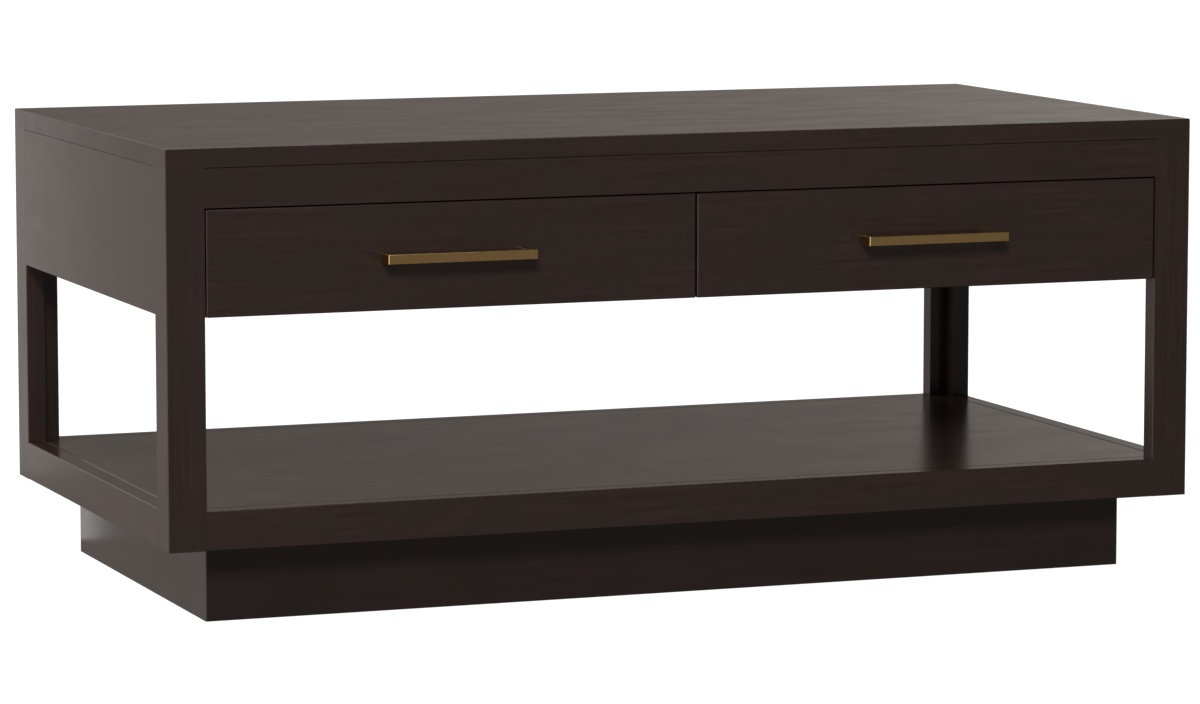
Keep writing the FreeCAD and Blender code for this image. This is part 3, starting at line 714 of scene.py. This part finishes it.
# Small screws are plated in a turning barrel, so they are bright, with a mottle 1.4 mm across from rubbing
barrel_marks = (1 / 0.00143, 1 / 0.00143, 1 / 0.00143)
screw_zinc = metal("zinc_plated_screw_steel", "#c6c8c9", "#b2b5b8", 0.24, 0.36, barrel_marks)
pan_head = {
    "Head Height": 0.0024, "Crown Share": 0.45, "Seat Share": 1.0, "Roundness": 3.0, "Recess Depth": 0.0016,
}
flat_head = {
    "Head Height": 0.0012, "Crown Share": 1.0, "Seat Share": 0.55, "Roundness": 1.0, "Recess Depth": 0.0010,
}

# The thread's depth is a share of the shank's radius, and the recess's width a share of the head's. Corners
# this near to the plane of a screw's end lie on it
thread_share = 0.24
recess_share = 1.1
flat_end = 1e-5


def drive_screws(node, body, head, pitch, tip_length):
    """Puts a threaded screw in the place of each of a node's plain ones, as long and as thick as that."""
    crowns = []
    aims = []
    for corners in islands(node):
        centre = middle(corners)
        spans = [2 * max(abs(c[axis] - centre[axis]) for c in corners) for axis in range(3)]
        length = max(spans)
        axis = spans.index(length)

        # The wider of its two ends is the head, and the screw points away from it
        radii = []
        for way in (-1, 1):
            end = centre[axis] + way * length / 2
            across = [c - centre for c in corners if abs(c[axis] - end) < flat_end]
            for corner in across:
                corner[axis] = 0
            radii.append(max(corner.length for corner in across))
        aim = Vector((0, 0, 0))
        aim[axis] = 1 if radii[0] > radii[1] else -1
        crowns.append(centre - aim * length / 2)
        aims.extend(aim)

    # The screws of one node are all alike, so the last one's sizes serve for all
    places = bpy.data.meshes.new(node + "_places")
    places.from_pydata(crowns, [], [])
    places.attributes.new("aim", "FLOAT_VECTOR", "POINT").data.foreach_set("vector", aims)
    sizes = {
        "Length": length, "Shank Radius": min(radii), "Head Radius": max(radii),
        "Thread Depth": min(radii) * thread_share, "Recess Width": max(radii) * recess_share,
        "Pitch": pitch, "Tip Length": tip_length, "Seed": len(crowns), "Finish": screw_zinc, **head,
    }
    made = grown(node + "_threaded", places, screw_tree, sizes)
    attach(made, body)
    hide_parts(node)


drive_screws("top_screws", "case", pan_head, pitch=0.0016, tip_length=0.0050)
drive_screws("case_slide_screws", "case", flat_head, pitch=0.0014, tip_length=0.0030)
for side in ("left", "right"):
    drawer = side + "_drawer"
    drive_screws(drawer + "_pull_screws", drawer, pan_head, pitch=0.0008, tip_length=0.0008)
    drive_screws(drawer + "_front_screws", drawer, pan_head, pitch=0.0016, tip_length=0.0045)
    drive_screws(drawer + "_slide_screws", drawer, flat_head, pitch=0.0014, tip_length=0.0030)


# Studio: the table stands on white acrylic that is lit from below, so that its shadow doesn't show, as in
# the photograph. One strong softbox, far off at the front left, draws the shadows of the top and of the
# pulls. The other lights are weak and fill in the sides.
floor_reach = 40
floor_level = -0.0005
floor_corners = [
    (way_x * floor_reach, way_y * floor_reach, floor_level)
    for way_x, way_y in ((-1, -1), (1, -1), (1, 1), (-1, 1))
]
floor_mesh = bpy.data.meshes.new("studio_floor")
floor_mesh.from_pydata(floor_corners, [], [(0, 1, 2, 3)])
floor = bpy.data.objects.new("studio_floor", floor_mesh)
bpy.context.scene.collection.objects.link(floor)
floor.visible_glossy = False

# The acrylic is frosted, so it shows no highlights, and it glows as white as paper
acrylic = bpy.data.materials.new("backlit_white_acrylic")
acrylic.use_nodes = True
acrylic.node_tree.nodes.clear()
surface = add_node(
    acrylic.node_tree, "ShaderNodeBsdfPrincipled",
    {
        "Base Color": linear("#5a5a5a"), "Roughness": 0.9, "Specular IOR Level": 0.1,
        "Emission Color": (1, 1, 1, 1), "Emission Strength": 1.0,
    },
)
add_node(acrylic.node_tree, "ShaderNodeOutputMaterial", {"Surface": surface.outputs[0]})
floor_mesh.materials.append(acrylic)


def softbox(name, centre, target, width, height, radiance):
    """A light of even brightness, aimed at a target. Its area and radiance give its power."""
    lamp = bpy.data.lights.new(name, "AREA")
    lamp.shape = "RECTANGLE"
    lamp.size = width
    lamp.size_y = height
    lamp.energy = radiance * width * height * math.pi
    made = bpy.data.objects.new(name, lamp)
    made.location = centre
    made.rotation_euler = (Vector(target) - Vector(centre)).to_track_quat("-Z", "Y").to_euler()
    made.visible_camera = False
    bpy.context.scene.collection.objects.link(made)


softbox("key_light", (-2.711, -6.724, 4.222), (0, -0.27, 0.35), width=1.6, height=1.6, radiance=104)
softbox("overhead_light", (-0.4, 0.4, 3.4), (0, 0, 0.3), width=3.0, height=3.0, radiance=3.0)
softbox("corner_light", (-0.66, 0.8, 0.25), (-0.6, 0.2, 0.25), width=0.12, height=0.5, radiance=0.32)
softbox("edge_strip", (-0.68, 1.15, 0.7), (-0.533, 0, 0.3), width=0.15, height=0.6, radiance=0.6)
softbox(
    "plinth_spot", (-0.503, 0.300, 0.026), (-0.483, 0.225, 0.035), width=0.030, height=0.046, radiance=0.7
)

# The room is dark, with pale screens that glow a little. Each is brightest where it faces, and fades to its
# sides as the cosine to the power of its tightness
screens = {
    "above": ((0, 0, 1), 1, (0.05, 0.05, 0.05)),
    "behind": ((0.252, 0.960, 0.120), 6, (0.181, 0.160, 0.145)),
    "behind_and_low": ((0.335, 0.942, -0.030), 200, (0.22, 0.19, 0.175)),
    "behind_right": ((0.559, 0.829, 0), 100, (1.24, 1.16, 1.08)),
    "behind_left": ((-0.269, 0.958, -0.100), 20, (0.286, 0.250, 0.234)),
    "left": ((-0.990, 0.099, 0.099), 4, (1.92, 1.77, 1.71)),
    "high_left": ((-0.704, 0.101, 0.704), 6, (4.49, 4.14, 4.01)),
    "front": ((0.353, -0.929, -0.119), 20, (0.178, 0.160, 0.152)),
    "right": ((0.970, 0.100, 0.220), 8, (0.85, 0.80, 0.77)),
}
world = bpy.data.worlds.new("studio_room")
bpy.context.scene.world = world
world.use_nodes = True
tree = world.node_tree
tree.nodes.clear()
way = add_node(tree, "ShaderNodeTexCoord").outputs["Generated"]
glow = (0, 0, 0)
for facing, tightness, colour in screens.values():
    share = add_node(tree, "ShaderNodeVectorMath", {0: way, 1: facing}, operation="DOT_PRODUCT")
    share = add_node(tree, "ShaderNodeMath", {0: share.outputs["Value"], 1: 0}, operation="MAXIMUM")
    share = add_node(tree, "ShaderNodeMath", {0: share.outputs[0], 1: tightness}, operation="POWER")
    glow = add_node(
        tree, "ShaderNodeVectorMath", {0: share.outputs[0], 1: colour, 2: glow}, operation="MULTIPLY_ADD"
    ).outputs[0]
room = add_node(tree, "ShaderNodeBackground", {"Color": glow})
add_node(tree, "ShaderNodeOutputWorld", {"Surface": room.outputs[0]})
bpy.context.scene.view_settings.view_transform = "Standard"


# Camera: a long lens, five metres off and a little above the table,
# looking at it from its left front, as in the photograph.
down = math.radians(6.8487)
to_the_right = math.radians(20.8155)
eye = bpy.data.cameras.new("camera")
eye.lens = 154.05
eye.sensor_width = 36
eye.clip_end = 200
camera = bpy.data.objects.new("camera", eye)
camera.location = (-1.8476, -4.8633, 0.8390)
camera.rotation_euler = (math.pi / 2 - down, 0, -to_the_right)
bpy.context.scene.collection.objects.link(camera)
bpy.context.scene.camera = camera
